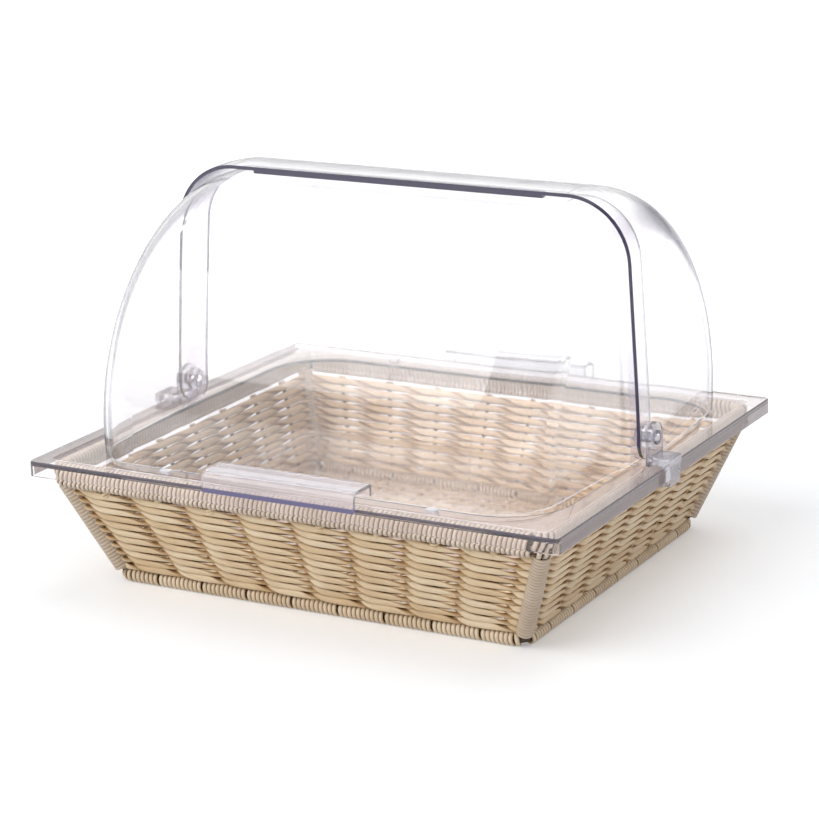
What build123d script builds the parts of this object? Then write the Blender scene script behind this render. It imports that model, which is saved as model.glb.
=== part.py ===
from build123d import *
import os
from math import cos, radians, sqrt

# Countertop bread display bin: a flared woven basket on a steel wire frame, a clear tray that
# hangs in it by its flange, and two clear quarter-round covers that turn about one axis.
# Millimetres. Origin at the middle of the base, +Z up, front towards -Y, width along X.

# ---------------------------------------------------------------- driving sizes
# tray
TRAY_W = 400.0            # over the flange, left to right
TRAY_D = 358.0            # over the flange, front to rear
RIM_TOP = 92.4            # height of the raised border of the flange
TRAY_T = 2.2              # sheet
LIP_DROP = 10.4           # turned-down outer lip, below the raised border
BORDER_W = 11.0           # raised border round the flange
BORDER_H = 1.4            # its step above the flange
TRAY_CORNER_R = 5.0
FLANGE_SIDE = 22.0        # flange from its outer edge to the dish, left and right
FLANGE_END = 25.5         # and front and rear
DISH_CORNER_R = 50.0
DISH_DEPTH = 52.0
DISH_SHOULDER_R = 4.0
DISH_FLOOR_R = 9.0
DISH_DRAFT = 20.0         # degrees

# basket
RIM_IN_SIDE = 10.0        # the rim wrap's face lies this far inside the tray's edge, left and right
RIM_IN_END = 8.0          # and front and rear
FLARE_SIDE = 30.0         # the rim stands out this far beyond the base, left and right
FLARE_END = 31.0          # and front and rear
WALL_TOP_IN = 3.8         # the wall's top lies this far inside the rim wrap's face
WALL_T = 8.0              # woven wall
WALL_FOOT_H = 4.6         # upright foot of the wall before it flares
WEAVE_ROWS = 11           # rows of strand in each wall
WEAVE_CROSS_T = 4.8       # wall in the middle of each bay, where the strands cross
WEAVE_GROOVE = 1.3        # groove between two rows, at the stakes
BASE_WIRE_D = 5.0
BASE_WRAP_D = 9.0
BASE_CORNER_R = 9.0       # centre line of the base wire's corner
RIM_WIRE_D = 4.6
RIM_WRAP_D = 8.4
LOWER_WIRE_D = 3.6        # second wire of the rim, under the first
LOWER_WRAP_D = 7.8
RIM_WIRE_STEP = 7.1       # height between the two rim wires
RIM_CORNER_R = 9.0        # centre line of the rim wires' corners
WRAP_BREAK = 4.0          # bare wire showing where one wrap ends
POST_WIRE_D = 4.0
POST_WRAP_D = 12.0
POST_LEAN_IN = 5.0        # the post wrap's face stands this far proud of its axis line
STAKE_D = 3.0
FRONT_BAYS = 9            # spaces between the stakes of the long walls
SIDE_BAYS = 8
FLOOR_T = 5.0
FLOOR_ROWS = 42           # rows of strand in the floor, front to rear
FLOOR_GROOVE = 1.2        # groove between two rows
FLOOR_WIRE_D = 2.6
FLOOR_WIRE_Z = 2.0
NECK_T = 0.7              # thin part of the base wrap, behind each stake

# covers
PIVOT_UP = 16.6           # pivot axis above the raised border of the flange
COVER_IN_END = 14.0       # the rear cover's curved wall lies this far inside the tray's edge
COVER_IN_SIDE = 16.0      # and its end wall, at the pivot
COVER_T = 2.5
COVER_GAP = 3.9           # clear space between the two covers
END_DRAFT = 10.4          # how much narrower the end wall is at the full radius
REAR_CORNER_R = 47.0      # round between the end wall and the curved wall
FRONT_CORNER_R = 42.0
COVER_LIFT = 2.3          # bottom edge above the flange
FRONT_OVERLAP = 12.5      # front cover's rear edge, behind the pivot
REAR_OVERLAP = 15.5       # rear cover's front edge, ahead of the pivot
EDGE_LIP_LEN = 224.0      # thickened edge of the rear cover
EDGE_LIP_H = 2.0
EDGE_LIP_W = 4.2

# grips
GRIP_LEN = 114.0
GRIP_REACH = 3.5          # beyond the tray
GRIP_T = 2.5
GRIP_TOP_BELOW = 4.5      # top of the grip, below the pivot
GRIP_H = 14.2
GRIP_EDGE_R = 6.0
GRIP_ROOT_H = 8.5

# hinges
PIN_D = 6.0
PIN_CLEAR = 0.05          # radial, in the covers
PIN_SEAT_CLEAR = 0.02     # radial, in the bracket
PIN_HEAD_D = 13.0
PIN_HEAD_T = 1.8
PIN_TAIL_D = 10.0
PIN_TAIL_T = 1.4
SPACER_D = 16.0
BRACKET_T = 3.5           # upright plate
BRACKET_HEAD_R = 10.5
BLOCK_FRONT = 15.5        # block's reach ahead of the pivot
BLOCK_REAR = 4.5          # and behind it
BLOCK_TOP = 6.8           # above the raised border
BLOCK_RELIEF = 1.8        # slot under the block
CLIP_INSET = 1.5          # leg narrower than the block, each end
CLIP_T = 3.9
CLIP_HOOK = 1.8
DIMPLE_D = 2.4
DIMPLE_DEPTH = 1.2

# rest pads
PAD_X = 101.0
PAD_W = 8.0
PAD_L = 7.0
PAD_OUT = 1.2             # middle of the pad, beyond the cover's wall

# named clearances
SEAT_GAP = 0.3            # tray flange over the round rim wrap, cover over its pad
FIT_GAP = 0.1             # wire in its wrap
WEAVE_GAP = 0.3           # wall panel to its neighbours
SIDE_GAP = 0.4            # pin head, spacer and bracket beside the covers

# ---------------------------------------------------------------- derived sizes
DISH_W = TRAY_W - 2 * FLANGE_SIDE          # dish mouth, where the shoulder leaves the flange
DISH_D = TRAY_D - 2 * FLANGE_END
RIM_W = TRAY_W - 2 * RIM_IN_SIDE           # over the rim wrap
RIM_D = TRAY_D - 2 * RIM_IN_END
BASE_W = RIM_W - 2 * FLARE_SIDE            # over the base wrap
BASE_D = RIM_D - 2 * FLARE_END

FLANGE_TOP = RIM_TOP - BORDER_H
FLANGE_UNDER = FLANGE_TOP - TRAY_T
PIVOT_H = RIM_TOP + PIVOT_UP
COVER_FOOT = FLANGE_TOP + COVER_LIFT
REAR_R = TRAY_D / 2 - COVER_IN_END         # outside radius of the rear, outer cover
END_X = TRAY_W / 2 - COVER_IN_SIDE         # outside of its end wall at the pivot
FRONT_R = REAR_R - COVER_T - COVER_GAP
FRONT_END_X = END_X - COVER_T - COVER_GAP

RIM_WIRE_Z = FLANGE_UNDER - SEAT_GAP - RIM_WRAP_D / 2
LOWER_WIRE_Z = RIM_WIRE_Z - RIM_WIRE_STEP
RIM_HALF_W = RIM_W / 2 - RIM_WRAP_D / 2
RIM_HALF_D = RIM_D / 2 - RIM_WRAP_D / 2
BASE_HALF_W = BASE_W / 2 - BASE_WRAP_D / 2
BASE_HALF_D = BASE_D / 2 - BASE_WRAP_D / 2
BASE_WIRE_Z = BASE_WRAP_D / 2
NECK_D = BASE_WIRE_D + 2 * (FIT_GAP + NECK_T)
WALL_FOOT_Z = BASE_WRAP_D + WEAVE_GAP
WALL_TOP_Z = LOWER_WIRE_Z - LOWER_WRAP_D / 2 - WEAVE_GAP

SIDES = ("left", "right")
WALLS = ("front", "right", "rear", "left")
CORNERS = {"front_left": (-1, -1), "front_right": (1, -1), "rear_right": (1, 1), "rear_left": (-1, 1)}
IS_LONG = {"front": True, "rear": True, "left": False, "right": False}


# ---------------------------------------------------------------- helpers
def face_yz(*outline):
    """Closed polygon in the YZ plane, given as (y, z)."""
    return make_face(Polyline(*[(0, y, z) for y, z in outline], close=True))


def along_x(face, half):
    """Solid made from a YZ face, reaching the same way to both sides."""
    return extrude(face, amount=half, dir=(1, 0, 0), both=True)


def rod(start, end, d):
    """Round bar from one point to another."""
    axis = Vector(end) - Vector(start)
    return extrude(Plane(start, z_dir=axis) * Circle(d / 2), amount=axis.length)


def leaning_rod(foot, head, d):
    """Round bar along a leaning line, cut level at the heights of its two ends."""
    past = (head - foot).normalized() * d
    level = Pos(0, 0, (foot.Z + head.Z) / 2) * Box(2 * RIM_W, 2 * RIM_W, head.Z - foot.Z)
    return rod(foot - past, head + past, d) & level


def disc(x0, x1, r, y=0.0, z=PIVOT_H):
    """Round plate on a line along X."""
    return rod((x0, y, z), (x1, y, z), 2 * r)


def mirrored(part, side):
    """The right-hand piece, or its mirror image for the left."""
    return part if side == "right" else mirror(part, about=Plane.YZ)


def bar_ring(half_w, half_d, corner_r, z, d):
    """Closed loop of round bar with rounded corners."""
    path = Plane((0, 0, z)) * RectangleRounded(2 * half_w, 2 * half_d, corner_r).wire()
    start = Plane((0, -half_d, z), x_dir=(0, 1, 0), z_dir=(1, 0, 0))
    return sweep(start * Circle(d / 2), path=path)


def save(name, part):
    export_step(part, f"parts/{name}.step")


# ---------------------------------------------------------------- basket
def wall_half(z, half_base, half_rim):
    """Half-width of the basket's outer face at height z: an upright foot, then a straight flare."""
    flare_z = WALL_FOOT_Z + WALL_FOOT_H
    share = max(0.0, (z - flare_z) / (WALL_TOP_Z - flare_z))
    return half_base + share * (half_rim - WALL_TOP_IN - half_base)


def wall_spans(long_wall):
    """(half run, half depth) of one wall at the base and at the rim."""
    base = (BASE_W / 2, BASE_D / 2) if long_wall else (BASE_D / 2, BASE_W / 2)
    rim = (RIM_W / 2, RIM_D / 2) if long_wall else (RIM_D / 2, RIM_W / 2)
    return base, rim


def post_half(z, half_base, half_rim):
    """Distance of a corner post's straight centre line from the middle, at height z."""
    low = wall_half(WALL_FOOT_Z, half_base, half_rim) - POST_LEAN_IN
    top = wall_half(WALL_TOP_Z, half_base, half_rim) - POST_LEAN_IN
    return low + (top - low) * (z - WALL_FOOT_Z) / (WALL_TOP_Z - WALL_FOOT_Z)


def bay_count(long_wall):
    return FRONT_BAYS if long_wall else SIDE_BAYS


def run_half(long_wall, z):
    """Half of the length that the stakes share out at height z."""
    (run0, _), (run1, _) = wall_spans(long_wall)
    return run0 + (run1 - run0) * (z - WALL_FOOT_Z) / (WALL_TOP_Z - WALL_FOOT_Z)


def wall_middle(long_wall, z):
    """Y of the middle of the front-facing wall at height z."""
    (_, out0), (_, out1) = wall_spans(long_wall)
    return -(wall_half(z, out0, out1) - WALL_T / 2)


def stake_point(long_wall, index, z):
    """Centre of one stake of the front-facing wall at height z, in the middle of the weave."""
    share = 2 * (index + 1) / bay_count(long_wall) - 1
    return Vector(share * run_half(long_wall, z), wall_middle(long_wall, z), z)


def stake(long_wall, index, d):
    """Upright wire in the weave, bent where the wall starts to flare, its ends cut level."""
    foot, bend, head = [stake_point(long_wall, index, z)
                        for z in (WALL_FOOT_Z, WALL_FOOT_Z + WALL_FOOT_H, WALL_TOP_Z)]
    return leaning_rod(foot, bend, d) + leaning_rod(bend, head, d)


def stakes(long_wall, d=STAKE_D):
    """All stakes of the front-facing wall."""
    return [stake(long_wall, i, d) for i in range(bay_count(long_wall) - 1)]


def weave_level(long_wall, z, bulge):
    """Level outline of the front-facing wall: fat by twice the bulge at each stake, thin between them."""
    bays = bay_count(long_wall)
    run = run_half(long_wall, z)
    reach = run / bays
    middle = wall_middle(long_wall, z)
    edges = []
    for side in (-1, 1):
        thin = middle + side * WEAVE_CROSS_T / 2
        for i in range(bays + 1):
            x = side * (run - 2 * reach * i)
            edges.append(ThreePointArc((x + side * reach, thin, z), (x, middle + side * bulge, z),
                                       (x - side * reach, thin, z)))
        end = -side * (run + reach)
        edges.append(Line((end, thin, z), (end, 2 * middle - thin, z)))
    return make_face(edges)


def wall(long_wall):
    """Woven wall between two corner posts: rows of strand bulging over the stakes, a channel for each."""
    (run0, out0), (run1, out1) = wall_spans(long_wall)
    row_h = (WALL_TOP_Z - WALL_FOOT_Z) / WEAVE_ROWS
    grooves = [WALL_FOOT_Z + row_h * row for row in range(WEAVE_ROWS + 1)]
    levels = []
    for groove_z in grooves[:-1]:
        levels.append(weave_level(long_wall, groove_z, WALL_T / 2 - WEAVE_GROOVE))
        levels.append(weave_level(long_wall, groove_z + row_h / 2, WALL_T / 2))
    levels.append(weave_level(long_wall, WALL_TOP_Z, WALL_T / 2 - WEAVE_GROOVE))
    weave = loft(levels, ruled=True)
    half0 = post_half(WALL_FOOT_Z, run0, run1)
    half1 = post_half(WALL_TOP_Z, run0, run1)
    lean = (half1 - half0) / (WALL_TOP_Z - WALL_FOOT_Z)
    clear = POST_WRAP_D / 2 * sqrt(1 + lean ** 2) + WEAVE_GAP
    half0 -= clear
    half1 -= clear
    trim = Polyline((-half0, 0, WALL_FOOT_Z), (half0, 0, WALL_FOOT_Z), (half1, 0, WALL_TOP_Z),
                    (-half1, 0, WALL_TOP_Z), close=True)
    weave &= extrude(make_face(trim), amount=RIM_W, dir=(0, 1, 0), both=True)
    return weave - stakes(long_wall, STAKE_D + 2 * FIT_GAP)


def corner_line(sx, sy, foot_z):
    """Foot and head of a corner post's centre line."""
    x = [sx * post_half(z, BASE_W / 2, RIM_W / 2) for z in (foot_z, WALL_TOP_Z)]
    y = [sy * post_half(z, BASE_D / 2, RIM_D / 2) for z in (foot_z, WALL_TOP_Z)]
    return Vector(x[0], y[0], foot_z), Vector(x[1], y[1], WALL_TOP_Z)


def corner_post(sx, sy):
    """Upright wire of one corner, standing on the base wire."""
    return leaning_rod(*corner_line(sx, sy, BASE_WIRE_Z + BASE_WIRE_D / 2), POST_WIRE_D)


def post_wrap(sx, sy):
    """Strand wound round one corner post, as a plain sleeve."""
    foot, head = corner_line(sx, sy, WALL_FOOT_Z)
    reach = head - foot
    return leaning_rod(foot, head, POST_WRAP_D) - rod(foot - reach, head + reach, POST_WIRE_D + 2 * FIT_GAP)


def rim_wrap(long_wall):
    """Wound cover of both rim wires along one side: the corner at its start, then the straight run."""
    run, out = (RIM_HALF_W, RIM_HALF_D) if long_wall else (RIM_HALF_D, RIM_HALF_W)
    tiers = []
    for z, d, wire_d in ((RIM_WIRE_Z, RIM_WRAP_D, RIM_WIRE_D), (LOWER_WIRE_Z, LOWER_WRAP_D, LOWER_WIRE_D)):
        arc = CenterArc((-run + RIM_CORNER_R, -out + RIM_CORNER_R, z), RIM_CORNER_R, 180, 90)
        line = Line(arc @ 1, (run - RIM_CORNER_R - WRAP_BREAK, -out, z))
        path = Wire([arc.edge(), line.edge()])
        start = Plane(arc @ 0, z_dir=arc % 0)
        sleeve = sweep(start * Circle(d / 2), path=path)
        tiers.append((sleeve, sweep(start * Circle(wire_d / 2 + FIT_GAP), path=path)))
    (upper, upper_bore), (lower, lower_bore) = tiers
    return (upper + lower) - upper_bore - lower_bore


def base_wrap(long_wall):
    """Wound cover of the base wire along one side: a fat length in each bay, a neck at each stake."""
    run, out = (BASE_HALF_W, BASE_HALF_D) if long_wall else (BASE_HALF_D, BASE_HALF_W)
    end = run - BASE_CORNER_R
    sleeve = rod((-end, -out, BASE_WIRE_Z), (end, -out, BASE_WIRE_Z), NECK_D)
    breaks = [stake_point(long_wall, i, WALL_FOOT_Z).X for i in range(bay_count(long_wall) - 1)]
    starts = [-end] + [x + WRAP_BREAK / 2 for x in breaks]
    stops = [x - WRAP_BREAK / 2 for x in breaks] + [end]
    for x0, x1 in zip(starts, stops):
        sleeve += rod((x0, -out, BASE_WIRE_Z), (x1, -out, BASE_WIRE_Z), BASE_WRAP_D)
    return sleeve - rod((-run, -out, BASE_WIRE_Z), (run, -out, BASE_WIRE_Z), BASE_WIRE_D + 2 * FIT_GAP)


def floor_wire_places():
    """X of the cross wires in the floor: in line with every other stake, counted from both ends."""
    left = [stake_point(True, i, WALL_FOOT_Z).X for i in range(0, (FRONT_BAYS - 1) // 2, 2)]
    return left + [-x for x in reversed(left)]


def floor_wires(d=FLOOR_WIRE_D):
    """Cross wires that carry the floor, between the necks of the front and rear base wraps."""
    reach = BASE_HALF_D - NECK_D / 2 - FIT_GAP
    return [rod((x, -reach, FLOOR_WIRE_Z), (x, reach, FLOOR_WIRE_Z), d) for x in floor_wire_places()]


def basket_floor():
    """Woven floor: rows of strand from side to side, flat below, with a channel for each cross wire."""
    inset = BASE_WRAP_D + WEAVE_GAP
    mat = extrude(RectangleRounded(BASE_W - 2 * inset, BASE_D - 2 * inset, BASE_CORNER_R), amount=FLOOR_T)
    half = BASE_D / 2 - inset
    row_w = 2 * half / FLOOR_ROWS
    ridges = [(-half, 0), (-half, FLOOR_T - FLOOR_GROOVE)]
    for row in range(FLOOR_ROWS):
        ridges.append((-half + row_w * (row + 0.5), FLOOR_T))
        ridges.append((-half + row_w * (row + 1), FLOOR_T - FLOOR_GROOVE))
    rows = along_x(face_yz(*ridges, (half, 0)), BASE_W / 2)
    return (mat & rows) - floor_wires(FLOOR_WIRE_D + 2 * FIT_GAP)


# ---------------------------------------------------------------- tray
def dish_block(grow):
    """Filled dish, grown by a wall thickness: tapered sides, round corners and a round floor edge."""
    side = DISH_SHOULDER_R - grow / cos(radians(DISH_DRAFT))
    mouth = RectangleRounded(DISH_W - 2 * side, DISH_D - 2 * side, DISH_CORNER_R - side)
    block = extrude(Plane.XY.offset(FLANGE_TOP) * mouth, amount=-(DISH_DEPTH + grow), taper=DISH_DRAFT)
    floor_edges = block.faces().sort_by(Axis.Z)[0].edges()
    return fillet(floor_edges, DISH_FLOOR_R + grow)


def tray():
    """Flange with a raised border, a turned-down lip and the dish."""
    plate = RectangleRounded(TRAY_W, TRAY_D, TRAY_CORNER_R)
    skirt = extrude(Plane.XY.offset(RIM_TOP) * plate, amount=-LIP_DROP)
    skirt = fillet(skirt.faces().sort_by(Axis.Z)[-1].edges(), 1.0)
    field = RectangleRounded(TRAY_W - 2 * BORDER_W, TRAY_D - 2 * BORDER_W, TRAY_CORNER_R)
    skirt -= extrude(Plane.XY.offset(FLANGE_TOP) * field, amount=BORDER_H)
    hollow = RectangleRounded(TRAY_W - 2 * TRAY_T, TRAY_D - 2 * TRAY_T, TRAY_CORNER_R - TRAY_T)
    skirt -= extrude(Plane.XY.offset(FLANGE_UNDER) * hollow, amount=-LIP_DROP)
    shell = skirt + dish_block(TRAY_T) - dish_block(0.0)
    mouth = [e for e in shell.edges() if abs(e.center().Z - FLANGE_TOP) < 0.01
             and abs(e.center().X) < DISH_W / 2 and abs(e.center().Y) < DISH_D / 2]
    return fillet(mouth, DISH_SHOULDER_R - 0.2)


def rest_pad(sx, sy):
    """Small pad on the flange that carries the bottom edge of a cover."""
    r = REAR_R if sy > 0 else FRONT_R
    edge_y = sqrt((r - COVER_T / 2) ** 2 - (PIVOT_H - COVER_FOOT) ** 2)
    h = COVER_LIFT - SEAT_GAP
    pad = Pos(sx * PAD_X, sy * (edge_y + PAD_OUT), FLANGE_TOP + h / 2) * Box(PAD_W, PAD_L, h)
    return fillet(pad.edges().filter_by(Axis.Z), 2.0)


# ---------------------------------------------------------------- hinges
def hinge_bracket():
    """Right-hand bracket: round-headed upright, block on the border and a clip over the lip."""
    x0 = END_X + 2 * SIDE_GAP
    x1 = x0 + BRACKET_T
    x2 = TRAY_W / 2 + SIDE_GAP + CLIP_T
    upright = disc(x0, x1, BRACKET_HEAD_R)
    stem_h = PIVOT_H - FLANGE_TOP
    upright += Pos((x0 + x1) / 2, 0, FLANGE_TOP + stem_h / 2) * Box(BRACKET_T, 2 * BRACKET_HEAD_R, stem_h)
    block_l = BLOCK_FRONT + BLOCK_REAR
    block_y = (BLOCK_REAR - BLOCK_FRONT) / 2
    block = Pos((x1 + x2) / 2, block_y, RIM_TOP + BLOCK_TOP / 2) * Box(x2 - x1, block_l, BLOCK_TOP)
    block = fillet(block.faces().sort_by(Axis.Z)[-1].edges(), 1.5)
    slot_x0 = TRAY_W / 2 - BORDER_W + 1.0
    slot_x1 = TRAY_W / 2 - 1.0
    block -= Pos((slot_x0 + slot_x1) / 2, 0, RIM_TOP + BLOCK_RELIEF / 2) * Box(
        slot_x1 - slot_x0, 4 * BLOCK_FRONT, BLOCK_RELIEF)
    lip_foot = RIM_TOP - LIP_DROP
    leg_z0 = lip_foot - SIDE_GAP - CLIP_HOOK
    leg_h = RIM_TOP + BLOCK_TOP / 2 - leg_z0
    leg_l = block_l - 2 * CLIP_INSET
    leg = Pos(x2 - CLIP_T / 2, block_y, leg_z0 + leg_h / 2) * Box(CLIP_T, leg_l, leg_h)
    hook_x0 = TRAY_W / 2 - TRAY_T
    leg += Pos((hook_x0 + x2) / 2, block_y, leg_z0 + CLIP_HOOK / 2) * Box(x2 - hook_x0, leg_l, CLIP_HOOK)
    bracket = upright + block + leg
    bracket -= disc(x0 - 1, x1 + 1, PIN_D / 2 + PIN_SEAT_CLEAR)
    dimple_y = BLOCK_REAR - CLIP_INSET - 1.4 * DIMPLE_D
    bracket -= disc(x2 - DIMPLE_DEPTH, x2 + 1, DIMPLE_D / 2, y=dimple_y, z=lip_foot + LIP_DROP / 2 + 1.0)
    return bracket


def hinge_pin():
    """Right-hand pivot pin: head inside the covers, shank through both ears, tail on the bracket."""
    head_x = FRONT_END_X - COVER_T - SIDE_GAP - PIN_HEAD_D / 2 * END_DRAFT / REAR_R
    tail_x = END_X + 2 * SIDE_GAP + BRACKET_T
    pin = disc(head_x - PIN_HEAD_T, head_x, PIN_HEAD_D / 2)
    pin = fillet(pin.faces().sort_by(Axis.X)[0].edges(), 0.8)
    tail = disc(tail_x, tail_x + PIN_TAIL_T, PIN_TAIL_D / 2)
    tail = fillet(tail.faces().sort_by(Axis.X)[-1].edges(), 0.6)
    return pin + disc(head_x, tail_x, PIN_D / 2) + tail


# ---------------------------------------------------------------- covers
def drum(r, end_x, corner_r, inset=0.0):
    """Filled round body about the pivot axis: slightly domed ends, rounded into the curved wall."""
    half = Polyline((0, 0), (end_x - inset, 0), (end_x - END_DRAFT - inset, r - inset),
                    (-(end_x - END_DRAFT - inset), r - inset), (-(end_x - inset), 0), close=True)
    section = make_face(half)
    top = section.vertices().filter_by(lambda v: v.Y > 1)
    section = fillet(top, corner_r - inset)
    body = revolve(Plane.XZ * section, axis=Axis.X)
    return Pos(0, 0, PIVOT_H) * body


def side_view(overlap, toward):
    """Side outline of a cover about the pivot: foot, far side, top and an ear round the pivot."""
    far = toward * (REAR_R + 20)
    top = PIVOT_H + REAR_R + 20
    edge = -toward * overlap
    outline = face_yz((far, COVER_FOOT), (edge, COVER_FOOT), (edge, top), (far, top))
    ear = outline.vertices().filter_by(lambda v: abs(v.Y - edge) < 0.1 and v.Z < PIVOT_H)
    return fillet(ear, overlap)


def cover(r, end_x, corner_r, overlap, toward):
    """Quarter-round shell with end walls, cut to its side outline and bored for the pins."""
    shell = drum(r, end_x, corner_r) - drum(r, end_x, corner_r, COVER_T)
    shell &= along_x(side_view(overlap, toward), end_x + 1)
    return shell - disc(-end_x - 1, end_x + 1, PIN_D / 2 + PIN_CLEAR)


def front_cover():
    return cover(FRONT_R, FRONT_END_X, FRONT_CORNER_R, FRONT_OVERLAP, -1)


def rear_cover():
    """Outer shell, with the thickened front edge and a spacer boss round each pin."""
    shell = cover(REAR_R, END_X, REAR_CORNER_R, REAR_OVERLAP, 1)
    lip_r = REAR_R - COVER_T
    lip = disc(-EDGE_LIP_LEN / 2, EDGE_LIP_LEN / 2, lip_r + 0.5) - disc(
        -EDGE_LIP_LEN, EDGE_LIP_LEN, lip_r - EDGE_LIP_H)
    lip &= Pos(0, -REAR_OVERLAP + EDGE_LIP_W / 2, PIVOT_H + REAR_R) * Box(TRAY_W, EDGE_LIP_W, REAR_R)
    shell += lip
    boss_in = FRONT_END_X + SIDE_GAP
    bore = PIN_D / 2 + PIN_CLEAR
    for side in SIDES:
        boss = disc(boss_in, END_X - COVER_T + 0.5, SPACER_D / 2) - disc(boss_in - 1, END_X, bore)
        shell += mirrored(boss, side)
    return shell


def grip(r, toward):
    """Finger grip on the foot of a cover: a shelf that turns down in front of the tray's lip."""
    out = TRAY_D / 2 + GRIP_REACH
    top = PIVOT_H - GRIP_TOP_BELOW
    foot = top - GRIP_H
    root = r - 4.0
    outer = fillet(face_yz((root, foot), (out, foot), (out, top), (root, top)).vertices()
                   .filter_by(lambda v: v.Y > out - 1 and v.Z > top - 1), GRIP_EDGE_R)
    inner = fillet(face_yz((root, foot - 1), (out - GRIP_T, foot - 1), (out - GRIP_T, top - GRIP_T),
                           (root, top - GRIP_T)).vertices()
                   .filter_by(lambda v: v.Y > out - GRIP_T - 1 and v.Z > foot), GRIP_EDGE_R - GRIP_T)
    body = along_x(outer, GRIP_LEN / 2) - along_x(inner, GRIP_LEN)
    root_pad = face_yz((root, top - GRIP_ROOT_H), (r + 2.0, top - GRIP_ROOT_H), (r + 2.0, top), (root, top))
    body += along_x(root_pad, GRIP_LEN / 2)
    body -= disc(-GRIP_LEN, GRIP_LEN, r)
    return body if toward > 0 else mirror(body, about=Plane.XZ)


# ---------------------------------------------------------------- write the parts
os.makedirs("parts", exist_ok=True)

save("base_ring", bar_ring(BASE_HALF_W, BASE_HALF_D, BASE_CORNER_R, BASE_WIRE_Z, BASE_WIRE_D))
save("rim_ring", bar_ring(RIM_HALF_W, RIM_HALF_D, RIM_CORNER_R, RIM_WIRE_Z, RIM_WIRE_D))
save("lower_rim_ring", bar_ring(RIM_HALF_W, RIM_HALF_D, RIM_CORNER_R, LOWER_WIRE_Z, LOWER_WIRE_D))
for corner, (sx, sy) in CORNERS.items():
    save(f"corner_post_{corner}", corner_post(sx, sy))
    save(f"post_wrap_{corner}", post_wrap(sx, sy))
    save(f"rest_pad_{corner}", rest_pad(sx, sy))
for quarter, name in enumerate(WALLS):
    place = Rot(0, 0, quarter * 360 / len(WALLS))
    save(f"wall_{name}", place * wall(IS_LONG[name]))
    save(f"stakes_{name}", Compound(children=[place * s for s in stakes(IS_LONG[name])]))
    save(f"rim_wrap_{name}", place * rim_wrap(IS_LONG[name]))
    save(f"base_wrap_{name}", place * base_wrap(IS_LONG[name]))
save("basket_floor", basket_floor())
save("floor_wires", Compound(children=floor_wires()))

save("tray", tray())
for side in SIDES:
    save(f"hinge_bracket_{side}", mirrored(hinge_bracket(), side))
    save(f"hinge_pin_{side}", mirrored(hinge_pin(), side))

save("front_cover", front_cover())
save("rear_cover", rear_cover())
save("front_grip", grip(FRONT_R, -1))
save("rear_grip", grip(REAR_R, 1))
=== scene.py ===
from math import atan2, cos, pi, radians, sin

import bpy
import numpy as np
from mathutils import Matrix, Vector


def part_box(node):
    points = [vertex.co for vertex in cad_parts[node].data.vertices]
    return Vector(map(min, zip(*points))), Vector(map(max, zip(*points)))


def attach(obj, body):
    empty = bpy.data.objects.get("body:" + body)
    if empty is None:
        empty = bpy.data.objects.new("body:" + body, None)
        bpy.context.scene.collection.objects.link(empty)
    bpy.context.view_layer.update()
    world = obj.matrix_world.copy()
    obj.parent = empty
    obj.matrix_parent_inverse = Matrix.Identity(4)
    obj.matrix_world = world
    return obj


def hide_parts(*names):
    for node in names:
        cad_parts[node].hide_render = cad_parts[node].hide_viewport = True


# Looks for the countertop bread display bin: twined strand on the basket, clear moulded plastic on
# the tray, covers, grips and hinges. Metres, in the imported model's frame: +Z up, front towards -Y.

MM = 0.001
WALLS = ("front", "right", "rear", "left")
CORNERS = ("front_left", "front_right", "rear_right", "rear_left")

# ---------------------------------------------------------------- sizes that the frame doesn't give
WALL_T = 8.0 * MM             # woven wall, across
WALL_FOOT_H = 4.6 * MM        # upright foot of the wall
CORNER_R = 9.0 * MM           # corner of every wire ring, at its centre line
WRAP_BREAK = 1.0 * MM         # end of a rim wrap to the corner, where the next one starts
POST_IN = 5.0 * MM            # corner post's centre line, inside the wall's face
BAYS = {"front": 9, "rear": 9, "right": 8, "left": 8}

WEAVE_ROWS = 11
WEAVE_WIDTH = 5.3 * MM        # one strand of a twined pair, flat side, in front of a stake
WEAVE_THICK = 2.3 * MM
CROSS_WIDTH = 4.5 * MM        # the same strand on edge, where the pair crosses
CROSS_THICK = 3.5 * MM
WEAVE_OUT = 2.75 * MM         # from the stake's centre to the strand in front of it
WEAVE_UP = 1.5 * MM           # half the step between the two strands where they cross
WEAVE_TWIST = 2.1             # how sharply a pair turns over in the middle of a bay
BAY_STEPS = 18                # points along a strand in each bay
WEAVE_END = 8.0 * MM          # a strand eases in to the wall's middle over this last stretch

RIM_PITCH = 3.5 * MM          # one turn of the rim wrap
RIM_THICK = 2.1 * MM
RIM_FILL = 0.96               # strand width as a share of the pitch
RIM_LEAN = 0.26               # lean of the turns above the waist, seen from outside
RIM_SAG = 1.8                 # how far the turns stretch below the upper wire before the waist
RIM_TUCK = 0.3                # and how little they rise above the lower one
BASE_PITCH = 3.4 * MM
BASE_THICK = 2.0 * MM
BASE_FILL = 0.98
BASE_GAP = 1.3 * MM           # bare wire at each stake
BARE_ARC = (0.35, 0.75)       # bare share of a corner of the base, between the wraps of two sides
POST_DRAWN = 0.86             # the post's strand is drawn in to this share of its sleeve's radius
POST_HEAD = 3.5 * MM          # it runs on under the rim wrap
POST_PITCH = 2.7 * MM
POST_THICK = 1.6 * MM
POST_FILL = 1.16
POST_CORE = 8                 # upright strands under the winding
POST_CORE_WIDTH = 2.6 * MM
POST_CORE_THICK = 2.2 * MM
WAIST = radians(50)           # where the rim wrap leaves each wire for the waist between them

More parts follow.
